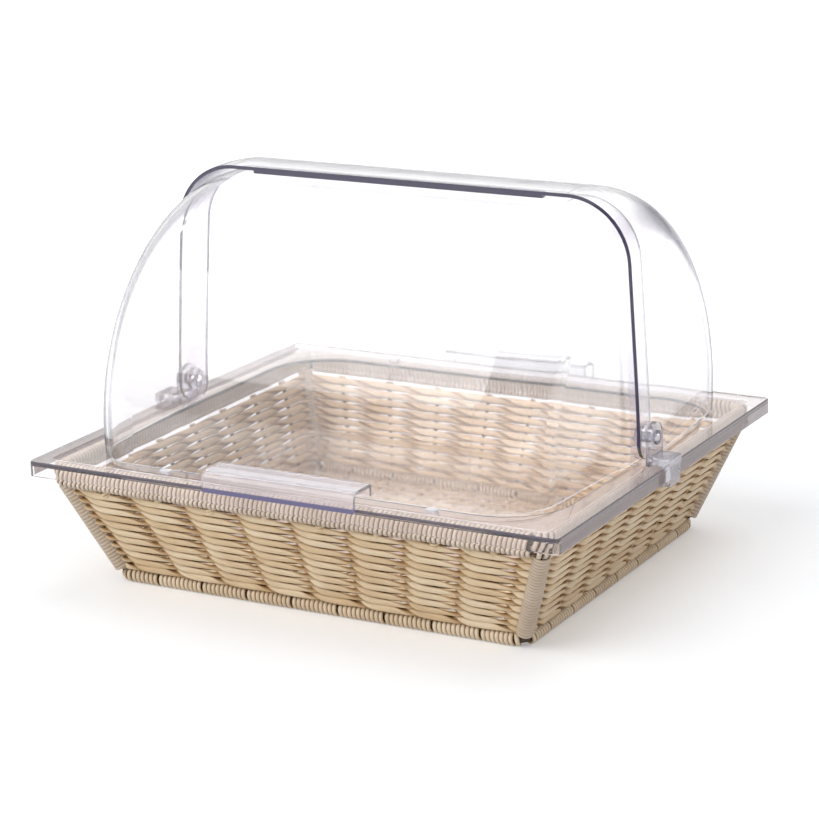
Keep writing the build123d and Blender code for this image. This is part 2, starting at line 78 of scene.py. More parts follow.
TIE_H = 5.0 * MM              # knot under the rim at each stake
TIE_OVER = 1.2 * MM           # its reach above the wall's top
TIE_R = 2.3 * MM              # stake and core inside the knot
TIE_WALL = 0.9 * MM           # strand round that
TIE_OUT = 2.0 * MM
TIE_LEAN = 1.0 * MM           # foot of the knot, further in than its head
TIE_PITCH = 2.1 * MM
TIE_THICK = 1.7 * MM
TIE_SMALL = 0.8               # size of every other knot

FLOOR_PITCH = 6.2 * MM        # floor strands along X
FLOOR_CROSS = 17.8 * MM       # floor strands along Y
FLOOR_STRAND = 4.8 * MM
FLOOR_THICK = 1.5 * MM

# ---------------------------------------------------------------- camera, fitted to the photograph
VIEW_AZIMUTH = radians(28.63)
VIEW_ELEVATION = radians(15.84)
VIEW_ROLL = radians(-1.15)
VIEW_DISTANCE = 1.9225
VIEW_TARGET = Vector((0.0113, -0.0209, 0.1129))
VIEW_LENS = 121.98            # on a 36 mm sensor

rng = np.random.default_rng(20)
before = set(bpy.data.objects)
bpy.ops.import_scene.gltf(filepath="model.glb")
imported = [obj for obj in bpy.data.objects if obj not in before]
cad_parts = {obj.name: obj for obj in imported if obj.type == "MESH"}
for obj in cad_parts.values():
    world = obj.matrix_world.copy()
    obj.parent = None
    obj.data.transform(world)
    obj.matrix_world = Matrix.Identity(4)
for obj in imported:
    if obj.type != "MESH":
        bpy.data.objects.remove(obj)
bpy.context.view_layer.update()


# ---------------------------------------------------------------- places read from the frame
def ring(node):
    """(half width, half depth, height) of a closed wire, at its centre line."""
    lo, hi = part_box(node)
    d = hi[2] - lo[2]
    return hi[0] - d / 2, hi[1] - d / 2, (hi[2] + lo[2]) / 2


BASE_X, BASE_Y, BASE_Z = ring("base_ring")
RIM_X, RIM_Y, RIM_Z = ring("rim_ring")
LOWER_Z = ring("lower_rim_ring")[2]
BASE_WRAP_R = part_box("base_wrap_front")[1][2] - BASE_Z
RIM_WRAP_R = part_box("rim_wrap_front")[1][2] - RIM_Z
LOWER_WRAP_R = LOWER_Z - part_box("rim_wrap_front")[0][2]
FOOT_Z, TOP_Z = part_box("wall_front")[0][2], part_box("wall_front")[1][2]
OUT_TOP = {"front": -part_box("wall_front")[0][1], "right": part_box("wall_right")[1][0]}
OUT_FOOT = {"front": WALL_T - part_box("wall_front")[1][1], "right": WALL_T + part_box("wall_right")[0][0]}
RUN_TOP = {"front": RIM_X + RIM_WRAP_R, "right": RIM_Y + RIM_WRAP_R}
RUN_FOOT = {"front": BASE_X + BASE_WRAP_R, "right": BASE_Y + BASE_WRAP_R}


def kind(side):
    """The wall that a side is a turned copy of."""
    return "front" if side in ("front", "rear") else "right"


def turned(points, side):
    """Points (run, out, up) of a wall seen from outside, run to the right, set in the frame."""
    quarter = WALLS.index(side) * pi / 2
    p = np.asarray(points, float)
    x, y = p[..., 0], -p[..., 1]
    return np.stack([x * cos(quarter) - y * sin(quarter), x * sin(quarter) + y * cos(quarter), p[..., 2]], -1)


def flare(z):
    """Share of the flare that the wall has reached at height z."""
    start = FOOT_Z + WALL_FOOT_H
    return np.clip((z - start) / (TOP_Z - start), 0, None)


def wall_out(side, z):
    """Distance of the wall's outer face from the middle."""
    k = kind(side)
    return OUT_FOOT[k] + flare(z) * (OUT_TOP[k] - OUT_FOOT[k])


def wall_run(side, z):
    """Half-length that the stakes share out at height z."""
    k = kind(side)
    return RUN_FOOT[k] + (RUN_TOP[k] - RUN_FOOT[k]) * (z - FOOT_Z) / (TOP_Z - FOOT_Z)


def post_place(side, z):
    """Distance along this wall of its corner posts' centre line: straight from foot to top."""
    other = "right" if kind(side) == "front" else "front"
    low = OUT_FOOT[other] - POST_IN
    return low + (OUT_TOP[other] - POST_IN - low) * (z - FOOT_Z) / (TOP_Z - FOOT_Z)


def wobble(s, scale, size):
    """Smooth random drift along s, the same each run."""
    total = np.zeros_like(s)
    for share in (1.0, 0.55, 0.3):
        total += share * np.sin(s / scale / share * 2 * pi + rng.uniform(0, 2 * pi))
    return total * size / 1.85


# ---------------------------------------------------------------- strand meshes
class Strands:
    """Collects swept strands, then makes one object of them."""

    def __init__(self, sides=8):
        self.sides = sides
        self.verts, self.faces, self.caps, self.uvs, self.tones = [], [], [], [], []
        self.count = 0

    def add(self, points, away, width, thick):
        """Sweeps an oval along points; away is the direction in which it is thin."""
        p = np.asarray(points, float)
        t = np.gradient(p, axis=0)
        t /= np.linalg.norm(t, axis=1, keepdims=True)
        n = away - np.sum(away * t, axis=1, keepdims=True) * t
        n /= np.linalg.norm(n, axis=1, keepdims=True)
        b = np.cross(t, n)
        k = self.sides
        a = 2 * pi * np.arange(k) / k
        width, thick = np.broadcast_to(width, len(p)), np.broadcast_to(thick, len(p))
        rings = (p[:, None] + (thick[:, None] / 2 * np.cos(a))[..., None] * n[:, None]
                 + (width[:, None] / 2 * np.sin(a))[..., None] * b[:, None])
        length = np.concatenate([[0], np.cumsum(np.linalg.norm(np.diff(p, axis=0), axis=1))])
        i = np.arange(len(p) - 1)[:, None] * k
        j = np.arange(k)
        quads = np.stack([i + j, i + (j + 1) % k, i + k + (j + 1) % k, i + k + j], -1) + self.count
        u = np.broadcast_to(length[:, None] / MM, (len(p), k + 1))
        v = np.broadcast_to(np.arange(k + 1) / k, (len(p), k + 1))
        grid = np.stack([u, v], -1)
        corner = np.stack([grid[:-1, :-1], grid[:-1, 1:], grid[1:, 1:], grid[1:, :-1]], 2)
        self.verts.append(rings.reshape(-1, 3))
        self.faces.append(quads.reshape(-1, 4))
        self.uvs.append(corner.reshape(-1, 2))
        self.caps += [list(self.count + j[::-1]), list(self.count + (len(p) - 1) * k + j)]
        self.tones.append(np.full(len(p) * k, rng.uniform()))
        self.count += len(p) * k

    def build(self, name, body, material, *nodes):
        """The mesh object, riding on its body and standing for its nodes."""
        verts = np.concatenate(self.verts)
        quads = np.concatenate(self.faces)
        mesh = bpy.data.meshes.new(name)
        mesh.from_pydata(verts.tolist(), [], quads.tolist() + self.caps)
        uv = mesh.uv_layers.new(name="strand")
        flat = np.zeros((len(mesh.loops), 2))
        sides = np.concatenate(self.uvs)
        flat[:len(sides)] = sides
        uv.data.foreach_set("uv", flat.ravel())
        tone = mesh.attributes.new("tone", "FLOAT", "POINT")
        tone.data.foreach_set("value", np.concatenate(self.tones))
        mesh.polygons.foreach_set("use_smooth", np.ones(len(mesh.polygons), bool))
        mesh.materials.append(material)
        mesh.validate()
        obj = bpy.data.objects.new(name, mesh)
        bpy.context.scene.collection.objects.link(obj)
        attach(obj, body)
        if nodes:
            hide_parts(*nodes)
        return obj


# ---------------------------------------------------------------- materials
EDGE_ON_PAINTED_GREY = (0.42, 0.41, 0.46)          # painted grey where a clear sheet is seen edge on, for the darker surroundings it reflects there
FACES = 0.95                            # a surface's normal lies this much along an axis that it faces
STRAND_ROUGH = 0.32                     # roughness of a strand between its grain lines
SHEET_WAVE = 0.12                       # strength of the slow ripple in the clear sheet


def new_material(name):
    """(material, node tree, output node, Principled node) of a new node material."""
    mat = bpy.data.materials.new(name)
    mat.use_nodes = True
    tree = mat.node_tree
    tree.nodes.clear()
    out = tree.nodes.new("ShaderNodeOutputMaterial")
    shader = tree.nodes.new("ShaderNodeBsdfPrincipled")
    tree.links.new(shader.outputs[0], out.inputs[0])
    return mat, tree, out, shader


def node(tree, kind_of, **values):
    """A shader node with the given properties, and input values by name."""
    n = tree.nodes.new(kind_of)
    for key, value in values.items():
        if hasattr(n, key):
            setattr(n, key, value)
        else:
            n.inputs[key.replace("_", " ")].default_value = value
    return n


def ramp(tree, fac, *stops):
    """A colour ramp over fac, from (position, colour) stops."""
    n = tree.nodes.new("ShaderNodeValToRGB")
    while len(n.color_ramp.elements) < len(stops):
        n.color_ramp.elements.new(0.5)
    for element, (at, colour) in zip(n.color_ramp.elements, stops):
        element.position = at
        element.color = (*colour, 1)
    tree.links.new(fac, n.inputs[0])
    return n.outputs[0]


def math(tree, operation, a, b=0.0, third=0.5, clamp=False):
    """A Math node's output. Each input is a number or another node's output."""
    n = tree.nodes.new("ShaderNodeMath")
    n.operation = operation
    n.use_clamp = clamp
    for socket, value in zip(n.inputs, (a, b, third)):
        if hasattr(value, "node"):
            tree.links.new(value, socket)
        else:
            socket.default_value = value
    return n.outputs[0]


def mix_colour(tree, fac, a, b, blend="MIX"):
    """Colour a mixed with colour b by fac. Each is a value or another node's output."""
    n = tree.nodes.new("ShaderNodeMix")
    n.data_type = "RGBA"
    n.blend_type = blend
    for socket, value in ((n.inputs[0], fac), (n.inputs[6], a), (n.inputs[7], b)):
        if hasattr(value, "node"):
            tree.links.new(value, socket)
        else:
            socket.default_value = (*value, 1) if isinstance(value, tuple) else value
    return n.outputs[2]


def bump(tree, height, strength, distance):
    """A normal raised by height."""
    n = tree.nodes.new("ShaderNodeBump")
    n.inputs["Strength"].default_value = strength
    n.inputs["Distance"].default_value = distance
    tree.links.new(height, n.inputs["Height"])
    return n.outputs[0]


def strand_material(name, pale, warm, deep, shade=0.36):
    """Extruded plastic strand: fine grain along it, slow changes of tone, and painted shade that deepens it
    round its back and sides, where it lies in creases.

    shade is how far round from the back, in half turns, the painted shade reaches."""
    mat, tree, _, shader = new_material(name)
    uv = node(tree, "ShaderNodeUVMap", uv_map="strand")
    split = tree.nodes.new("ShaderNodeSeparateXYZ")
    tree.links.new(uv.outputs[0], split.inputs[0])
    tone = node(tree, "ShaderNodeAttribute", attribute_name="tone").outputs["Fac"]
    along = tree.nodes.new("ShaderNodeCombineXYZ")
    round_it = math(tree, "ABSOLUTE", math(tree, "SUBTRACT", split.outputs[1], 0.5))
    tree.links.new(math(tree, "MULTIPLY", split.outputs[0], 0.05), along.inputs[0])
    tree.links.new(math(tree, "MULTIPLY", round_it, 18.0), along.inputs[1])
    tree.links.new(math(tree, "MULTIPLY", tone, 40.0), along.inputs[2])
    grain = node(tree, "ShaderNodeTexNoise", Scale=1.0, Detail=3.0, Roughness=0.6)
    tree.links.new(along.outputs[0], grain.inputs["Vector"])
    place = tree.nodes.new("ShaderNodeTexCoord").outputs["Object"]
    drift = node(tree, "ShaderNodeTexNoise", Scale=38.0, Detail=2.0)
    tree.links.new(place, drift.inputs["Vector"])
    blend = math(tree, "ADD", math(tree, "MULTIPLY", drift.outputs[0], 0.6),
                 math(tree, "MULTIPLY", tone, 0.4))
    colour = ramp(tree, blend, (0.25, pale), (0.55, warm), (0.95, deep))
    streak = ramp(tree, grain.outputs[0], (0.35, (0.80, 0.76, 0.70)), (0.62, (1.0, 1.0, 1.0)))
    colour = mix_colour(tree, 0.7, colour, streak, "MULTIPLY")
    # painted shade: the strand darkens round its back and sides, where it lies in the creases of the weave or
    # against its wire
    painted_crease_shade = ramp(tree, round_it, (0.02, (0.46, 0.34, 0.22)), (shade - 0.14, (0.70, 0.58, 0.44)),
                  (shade, (1.0, 1.0, 1.0)))
    colour = mix_colour(tree, 1.0, colour, painted_crease_shade, "MULTIPLY")
    tree.links.new(colour, shader.inputs["Base Color"])
    tree.links.new(math(tree, "ADD", math(tree, "MULTIPLY", grain.outputs[0], 0.22), STRAND_ROUGH),
                   shader.inputs["Roughness"])
    tree.links.new(bump(tree, grain.outputs[0], 0.35, 0.25 * MM), shader.inputs["Normal"])
    shader.inputs["Specular IOR Level"].default_value = 0.45
    return mat


def steel_material(name):
    """Dark brown lacquered wire with faint handling marks."""
    mat, tree, _, shader = new_material(name)
    place = tree.nodes.new("ShaderNodeTexCoord").outputs["Object"]
    marks = node(tree, "ShaderNodeTexNoise", Scale=160.0, Detail=4.0)
    tree.links.new(place, marks.inputs["Vector"])
    colour = ramp(tree, marks.outputs[0], (0.3, (0.030, 0.020, 0.014)), (0.7, (0.085, 0.055, 0.035)))
    tree.links.new(colour, shader.inputs["Base Color"])
    tree.links.new(math(tree, "ADD", math(tree, "MULTIPLY", marks.outputs[0], 0.3), 0.25),
                   shader.inputs["Roughness"])
    tree.links.new(bump(tree, marks.outputs[0], 0.2, 0.1 * MM), shader.inputs["Normal"])
    shader.inputs["Metallic"].default_value = 0.35
    return mat


def slab_mask(tree, coord, axis, at, half):
    """1 where the object coordinate on one axis lies within half of the given place."""
    split = tree.nodes.new("ShaderNodeSeparateXYZ")
    tree.links.new(coord, split.inputs[0])
    return math(tree, "COMPARE", split.outputs[axis], at, third=half)


def beyond_mask(tree, coord, axis, limit):
    """1 where the object coordinate on one axis is further out than limit, on either side."""
    split = tree.nodes.new("ShaderNodeSeparateXYZ")
    tree.links.new(coord, split.inputs[0])
    return math(tree, "GREATER_THAN", math(tree, "ABSOLUTE", split.outputs[axis]), limit)


def bend_mask(tree, normal):
    """0 where a surface faces along X or across it, 1 where it is about to turn into a side wall."""
    split = tree.nodes.new("ShaderNodeSeparateXYZ")
    tree.links.new(normal, split.inputs[0])
    x = math(tree, "POWER", math(tree, "ABSOLUTE", split.outputs[0]), 4.0)
    return math(tree, "MULTIPLY", math(tree, "MULTIPLY", x, 4.0), math(tree, "SUBTRACT", 1.0, x))


def clear_material(name, tint, haze=0.03, rough=0.03, edge=(0.80, 0.5, 0.0), ior=1.49, bands=()):
    """Clear moulded sheet, slightly wavy, with a painted grey line where it is seen edge on, standing in for
    the darker surroundings that it reflects there, and painted dark bands where it is cut, or other bands
    that the caller gives.

    edge is (how far the surface has turned away where the painted line starts, its strength, how much wider
    it gets where the sheet bends round to the side). Each band is (mask maker, colour, share of the light
    it stops)."""
    mat, tree, out, shader = new_material(name)
    place = tree.nodes.new("ShaderNodeTexCoord")
    ripple = node(tree, "ShaderNodeTexNoise", Scale=26.0, Detail=1.0)
    tree.links.new(place.outputs["Object"], ripple.inputs["Vector"])
    marks = node(tree, "ShaderNodeTexNoise", Scale=420.0, Detail=3.0)
    tree.links.new(place.outputs["Object"], marks.inputs["Vector"])
    tree.links.new(bump(tree, ripple.outputs[0], SHEET_WAVE, 1.0 * MM), shader.inputs["Normal"])
    tree.links.new(math(tree, "ADD", math(tree, "MULTIPLY", marks.outputs[0], 0.05), rough - 0.02),
                   shader.inputs["Roughness"])
    colour = ramp(tree, ripple.outputs[0], (0.3, tint), (0.7, tuple(min(1.0, c * 1.02) for c in tint)))
    edge_on = tree.nodes.new("ShaderNodeLayerWeight")
    start, strength, wider = edge
    bend = bend_mask(tree, place.outputs["Normal"])
    turned_away = math(tree, "ADD", edge_on.outputs["Facing"], math(tree, "MULTIPLY", bend, wider))
    # painted reflection: grey mixed into the colour where the sheet turns edge on
    painted_edge_line = ramp(tree, turned_away, (start, (0, 0, 0)), ((1 + start) / 2, (0.5, 0.5, 0.5)),
                   (1.0, (1, 1, 1)))
    colour = mix_colour(tree, painted_edge_line, colour, EDGE_ON_PAINTED_GREY)
    weight = 1.0 - haze
    for mask_of, band_colour, stops in bands:
        mask = mask_of(tree, place.outputs["Object"], place.outputs["Normal"])
        colour = mix_colour(tree, mask, colour, band_colour)
        weight = math(tree, "SUBTRACT", weight, math(tree, "MULTIPLY", mask, stops), clamp=True)
    if bands:
        tree.links.new(weight, shader.inputs["Transmission Weight"])
    else:
        shader.inputs["Transmission Weight"].default_value = weight
    tree.links.new(colour, shader.inputs["Base Color"])
    shader.inputs["IOR"].default_value = ior
    # painted reflection: where the sheet turns edge on, part of the light passes straight through, dimmed to
    # grey
    lined = tree.nodes.new("ShaderNodeMixShader")
    dim = node(tree, "ShaderNodeBsdfTransparent", Color=(*EDGE_ON_PAINTED_GREY, 1))
    tree.links.new(math(tree, "MULTIPLY", painted_edge_line, strength), lined.inputs[0])
    tree.links.new(shader.outputs[0], lined.inputs[1])
    tree.links.new(dim.outputs[0], lined.inputs[2])
    lamp = tree.nodes.new("ShaderNodeLightPath")            # lamps shine through, barely tinted
    through = node(tree, "ShaderNodeBsdfTransparent", Color=(*[0.94 + 0.04 * c for c in tint], 1))
    mix = tree.nodes.new("ShaderNodeMixShader")
    tree.links.new(lamp.outputs["Is Shadow Ray"], mix.inputs[0])
    tree.links.new(lined.outputs[0], mix.inputs[1])
    tree.links.new(through.outputs[0], mix.inputs[2])
    tree.links.new(mix.outputs[0], out.inputs[0])
    return mat


def cut_edge(y):
    """Painted dark band on a cover's cut edge, which faces along Y, for the dark surroundings seen in that
    edge.
    """
    def mask(tree, place, normal):
        return math(tree, "MULTIPLY", slab_mask(tree, place, 1, y, 0.6 * MM),
                    beyond_mask(tree, normal, 1, FACES))
    return mask


def strip(axis, low, high):
    """Band all over the part between two places on one axis."""
    def mask(tree, place, normal):
        return slab_mask(tree, place, axis, (low + high) / 2, (high - low) / 2)
    return mask


def face_strip(faces, axis, low, high, limit=FACES):
    """The same, only on what faces along another axis."""
    def mask(tree, place, normal):
        return math(tree, "MULTIPLY", slab_mask(tree, place, axis, (low + high) / 2, (high - low) / 2),
                    beyond_mask(tree, normal, faces, limit))
    return mask


def rim_line(axis, limit, z):
    """Painted dark band on the rounded top edge of the tray, along the two sides that lie beyond limit, for
    the shade and dark reflections seen in that edge.
    """
    def mask(tree, place, normal):
        return math(tree, "MULTIPLY", beyond_mask(tree, place, axis, limit),
                    slab_mask(tree, place, 2, z, 1.0 * MM))
    return mask


def side_lips_painted_grey(x):
    """Painted grey on the turned-down lip on the left and right, for the shaded wall seen through it and the
    darker surroundings it reflects.
    """
    def mask(tree, place, normal):
        return math(tree, "MULTIPLY", beyond_mask(tree, place, 0, x), beyond_mask(tree, normal, 0, FACES))
    return mask


WALL_STRAND = strand_material("wall_strand", (0.90, 0.74, 0.52), (0.82, 0.63, 0.40), (0.66, 0.45, 0.24))
RIM_STRAND = strand_material("rim_strand", (0.84, 0.77, 0.69), (0.72, 0.64, 0.56), (0.56, 0.47, 0.39), 0.44)
BASE_STRAND = strand_material("base_strand", (0.95, 0.83, 0.65), (0.84, 0.70, 0.52), (0.64, 0.50, 0.34), 0.44)
POST_STRAND = strand_material("post_strand", (0.72, 0.62, 0.50), (0.63, 0.52, 0.41), (0.50, 0.40, 0.30), 0.44)
STEEL = steel_material("lacquered_wire")

TRAY_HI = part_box("tray")[1]
LINE_Z = TRAY_HI[2] - 1.0 * MM
# painted shade: near-black violet for a cover's clear cut edge, which looks dark only from the surroundings
# it shows
CUT_EDGE_PAINTED_DARK = (0.060, 0.050, 0.100)
CLEAR_TRAY = clear_material("clear_tray", (0.950, 0.912, 0.912), haze=0.03, ior=1.40, bands=(
    # painted shade: dark lines on the tray's rounded top edge, strongest along the front and rear
    (rim_line(0, TRAY_HI[0] - 1.1 * MM, LINE_Z), (0.30, 0.26, 0.28), 0.40),
    (rim_line(1, TRAY_HI[1] - 1.1 * MM, LINE_Z), (0.13, 0.11, 0.14), 0.75),
    # painted shade and reflection: grey on the side lips
    (side_lips_painted_grey(TRAY_HI[0] - 0.5 * MM), (0.36, 0.31, 0.31), 0.58)))

REAR_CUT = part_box("rear_cover")[0][1]
FRONT_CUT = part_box("front_cover")[1][1]
CLEAR_REAR = clear_material("clear_rear_cover", (0.975, 0.97, 0.985), edge=(0.80, 0.55, 0.28), bands=(
    (cut_edge(REAR_CUT), CUT_EDGE_PAINTED_DARK, 0.92),))
CLEAR_FRONT = clear_material("clear_front_cover", (0.975, 0.97, 0.985), edge=(0.76, 0.36, 0.34), bands=(
    # painted reflection: pale veil on the end walls, which face along X
    (face_strip(0, 1, REAR_CUT, FRONT_CUT, limit=0.7), (0.86, 0.83, 0.89), 0.05),
    # painted shade: dark grey band along the front cover's cut front edge, for the dark surroundings seen in
    # it
    (strip(1, FRONT_CUT - 1.2 * MM, FRONT_CUT), (0.34, 0.32, 0.38), 0.45)))

GRIP_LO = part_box("front_grip")[0]
CLEAR_GRIP = clear_material("clear_grip", (0.93, 0.89, 0.91), haze=0.10, bands=(
    # painted shade: dark violet band on the foot of the grip, where it faces front and back
    (face_strip(1, 2, GRIP_LO[2], GRIP_LO[2] + 2.8 * MM), (0.22, 0.20, 0.36), 0.50),
    (face_strip(2, 1, GRIP_LO[1], GRIP_LO[1] + 13.0 * MM), (0.93, 0.91, 0.93), 0.30)))
CLEAR_REAR_GRIP = clear_material("clear_rear_grip", (0.975, 0.975, 0.985), haze=0.01, edge=(0.74, 0.80, 0.0))
CLEAR_FITTING = clear_material("clear_fitting", (0.90, 0.89, 0.94), haze=0.06, edge=(0.55, 0.80, 0.0))
CLEAR_PAD = clear_material("clear_pad", (0.93, 0.92, 0.95), haze=0.55, rough=0.25)


# ---------------------------------------------------------------- basket
def pair_turn(share, bays):
    """Turn of a twined pair: almost still in front of each stake, quick in the middle of each bay."""
    place = bays * (share + 1) / 2
    stake = np.floor(place)
    t = place - stake
    return pi * (stake + t ** WEAVE_TWIST / (t ** WEAVE_TWIST + (1 - t) ** WEAVE_TWIST))


def woven_wall(side):
    """Twined wall: in each row two strands pass the stakes on opposite sides and cross in each bay."""
    strands = Strands(sides=10)
    bays = BAYS[side]
    pitch = (TOP_Z - FOOT_Z) / WEAVE_ROWS
    for row in range(WEAVE_ROWS):
        z = FOOT_Z + pitch * (row + 0.5)
        end = post_place(side, z)
        run = np.linspace(-end, end, bays * BAY_STEPS + 1)
        share = run / wall_run(side, z)
        turn = pair_turn(share + wobble(run, 60 * MM, 0.008), bays)
        level = z + wobble(run, 90 * MM, 0.25 * MM)
        k = kind(side)
        tilt = atan2(OUT_TOP[k] - OUT_FOOT[k], TOP_Z - FOOT_Z - WALL_FOOT_H) if flare(z) > 0 else 0.0
        out_dir = np.array([0.0, cos(tilt), -sin(tilt)])
        up_dir = np.array([0.0, sin(tilt), cos(tilt)])
        middle = np.stack([run, wall_out(side, level) - WALL_T / 2, level], -1)
        ease = np.clip((end - np.abs(run)) / WEAVE_END, 0.15, 1)
        on_edge = np.sin(turn) ** 2
        width = WEAVE_WIDTH + on_edge * (CROSS_WIDTH - WEAVE_WIDTH)
        thick = WEAVE_THICK + on_edge * (CROSS_THICK - WEAVE_THICK)
        for half in (0, pi):
            reach = np.cos(turn + half)[:, None] * out_dir
            rise = -np.sin(turn + half)[:, None] * up_dir
            points = middle + WEAVE_OUT * ease[:, None] * reach + WEAVE_UP * rise
            strands.add(turned(points, side), turned(reach + rise, side), width, thick)
    return strands.build(f"woven_wall_{side}", "basket", WALL_STRAND, f"wall_{side}")


def straight_and_corner(side, half_run, half_out, stop):
    """Path of a wrap, as (run, out) and the outward way: the corner at its start, then the straight run."""
    arc = np.linspace(pi, pi / 2, 12)[:-1]
    corner_way = np.stack([np.cos(arc), np.sin(arc)], -1)
    corner = np.array([CORNER_R - half_run, half_out - CORNER_R]) + CORNER_R * corner_way
    line = np.linspace(-half_run + CORNER_R, stop, 60)
    straight = np.stack([line, np.full_like(line, half_out)], -1)
    way = np.tile([0.0, 1.0], (len(line), 1))
    return np.concatenate([corner, straight]), np.concatenate([corner_way, way])


def along(path, way, s):
    """Place and outward way at distance s along a path of (run, out) points."""
    d = np.concatenate([[0], np.cumsum(np.linalg.norm(np.diff(path, axis=0), axis=1))])
    at = np.stack([np.interp(s, d, path[:, i]) for i in (0, 1)], -1)
    out = np.stack([np.interp(s, d, way[:, i]) for i in (0, 1)], -1)
    return at, out / np.linalg.norm(out, axis=1, keepdims=True), d[-1]


def waisted_loop(upper_r, lower_r, step, points):
    """One turn of the rim wrap round both wires, as (out, up, out way, up way), from outside over the top."""
    upper = np.linspace(-WAIST, pi + WAIST, points)
    lower = np.linspace(pi - WAIST, 2 * pi + WAIST, points)
    out = np.concatenate([upper_r * np.cos(upper), lower_r * np.cos(lower)])
    upper_rise = np.where(np.sin(upper) < 0, RIM_SAG, 1.0) * np.sin(upper)
    lower_rise = np.where(np.sin(lower) > 0, RIM_TUCK, 1.0) * np.sin(lower)
    up = np.concatenate([upper_r * upper_rise, lower_r * lower_rise - step])
    out_way = np.concatenate([np.cos(upper), np.cos(lower)])
    up_way = np.concatenate([np.sin(upper), np.sin(lower)])
    return np.stack([out, up, out_way, up_way], -1)


def rim_wrap(side):
    """Strand wound round both rim wires, drawn in between them."""
    half_run, half_out = (RIM_X, RIM_Y) if kind(side) == "front" else (RIM_Y, RIM_X)
    path, way = straight_and_corner(side, half_run, half_out, half_run - CORNER_R - WRAP_BREAK)
    loop = waisted_loop(RIM_WRAP_R - RIM_THICK / 2, LOWER_WRAP_R - RIM_THICK / 2, RIM_Z - LOWER_Z, 9)
    per_turn = len(loop)
    length = along(path, way, np.array([0.0]))[2]
    turns = int(length / RIM_PITCH)
    count = turns * per_turn
    s = np.linspace(RIM_THICK / 2, length - RIM_THICK / 2, count)
    form = loop[np.arange(count) % per_turn]
    waist = (loop[per_turn // 2 - 1, 1] + loop[per_turn // 2, 1]) / 2
    s = s + wobble(s, 35 * MM, 0.25 * MM) + RIM_LEAN * np.clip(form[:, 1] - waist, 0, None)
    at, out, _ = along(path, way, s)
    swell = 1 + wobble(s, 50 * MM, 0.02)
    points = np.stack([at[:, 0] + out[:, 0] * form[:, 0] * swell, at[:, 1] + out[:, 1] * form[:, 0] * swell,
                       RIM_Z + form[:, 1] * swell], -1)
    away = np.stack([out[:, 0] * form[:, 2], out[:, 1] * form[:, 2], form[:, 3]], -1)
    strands = Strands(sides=8)
    strands.add(turned(points, side), turned(away, side), RIM_PITCH * RIM_FILL, RIM_THICK)
    return strands.build(f"wound_rim_{side}", "basket", RIM_STRAND, f"rim_wrap_{side}")


def coil(strands, start, end, way, r, pitch, thick, fill, steps=14):
    """Round winding between two points, starting on the side that way points to."""
    start, end, way = (np.asarray(v, float) for v in (start, end, way))
    axis = (end - start) / np.linalg.norm(end - start)
    way = way - np.dot(way, axis) * axis
    way /= np.linalg.norm(way)
    side_way = np.cross(axis, way)
    length = np.linalg.norm(end - start) - pitch
    turns = max(1, round(length / pitch))
    a = np.linspace(0, 2 * pi * turns, turns * steps + 1)
    s = pitch / 2 + length * a / a[-1]
    away = np.cos(a)[:, None] * way + np.sin(a)[:, None] * side_way
    points = start + s[:, None] * axis + (r - thick / 2) * away
    strands.add(points, away, pitch * fill, thick)


def base_wrap(side):
    """Strand wound round the base wire, one length in each bay with bare wire at the stakes."""
    half_run, half_out = (BASE_X, BASE_Y) if kind(side) == "front" else (BASE_Y, BASE_X)
    end = half_run - CORNER_R
    path, way = straight_and_corner(side, half_run, half_out, end)
    length = along(path, way, np.array([0.0]))[2]
    arc = length - 2 * end
    if kind(side) == "front":
        tail = np.linspace(0, BARE_ARC[0] * pi / 2, 8)[1:]
        tail_way = np.stack([np.sin(tail), np.cos(tail)], -1)
        path = np.concatenate([path, np.array([end, half_out - CORNER_R]) + CORNER_R * tail_way])
        way = np.concatenate([way, tail_way])
        length += BARE_ARC[0] * arc
    run = wall_run(side, FOOT_Z)
    stakes = [arc + end + run * (2 * (i + 1) / BAYS[side] - 1) for i in range(BAYS[side] - 1)]
    starts = [0.0 if kind(side) == "front" else BARE_ARC[1] * arc] + [x + BASE_GAP / 2 for x in stakes]
    stops = [x - BASE_GAP / 2 for x in stakes] + [length]
    strands = Strands(sides=8)
    reach = BASE_WRAP_R - BASE_THICK / 2
    for s0, s1 in zip(starts, stops):
        turns = max(1, round((s1 - s0) / BASE_PITCH))
        a = np.linspace(0, 2 * pi * turns, turns * 14 + 1)
        s = s0 + (s1 - s0) * a / a[-1]
        at, out, _ = along(path, way, s)
        points = np.stack([at[:, 0] - out[:, 0] * reach * np.cos(a), at[:, 1] - out[:, 1] * reach * np.cos(a),
                           BASE_Z + reach * np.sin(a)], -1)
        away = np.stack([-out[:, 0] * np.cos(a), -out[:, 1] * np.cos(a), np.sin(a)], -1)
        strands.add(turned(points, side), turned(away, side), BASE_PITCH * BASE_FILL, BASE_THICK)
    return strands.build(f"wound_base_{side}", "basket", BASE_STRAND, f"base_wrap_{side}")


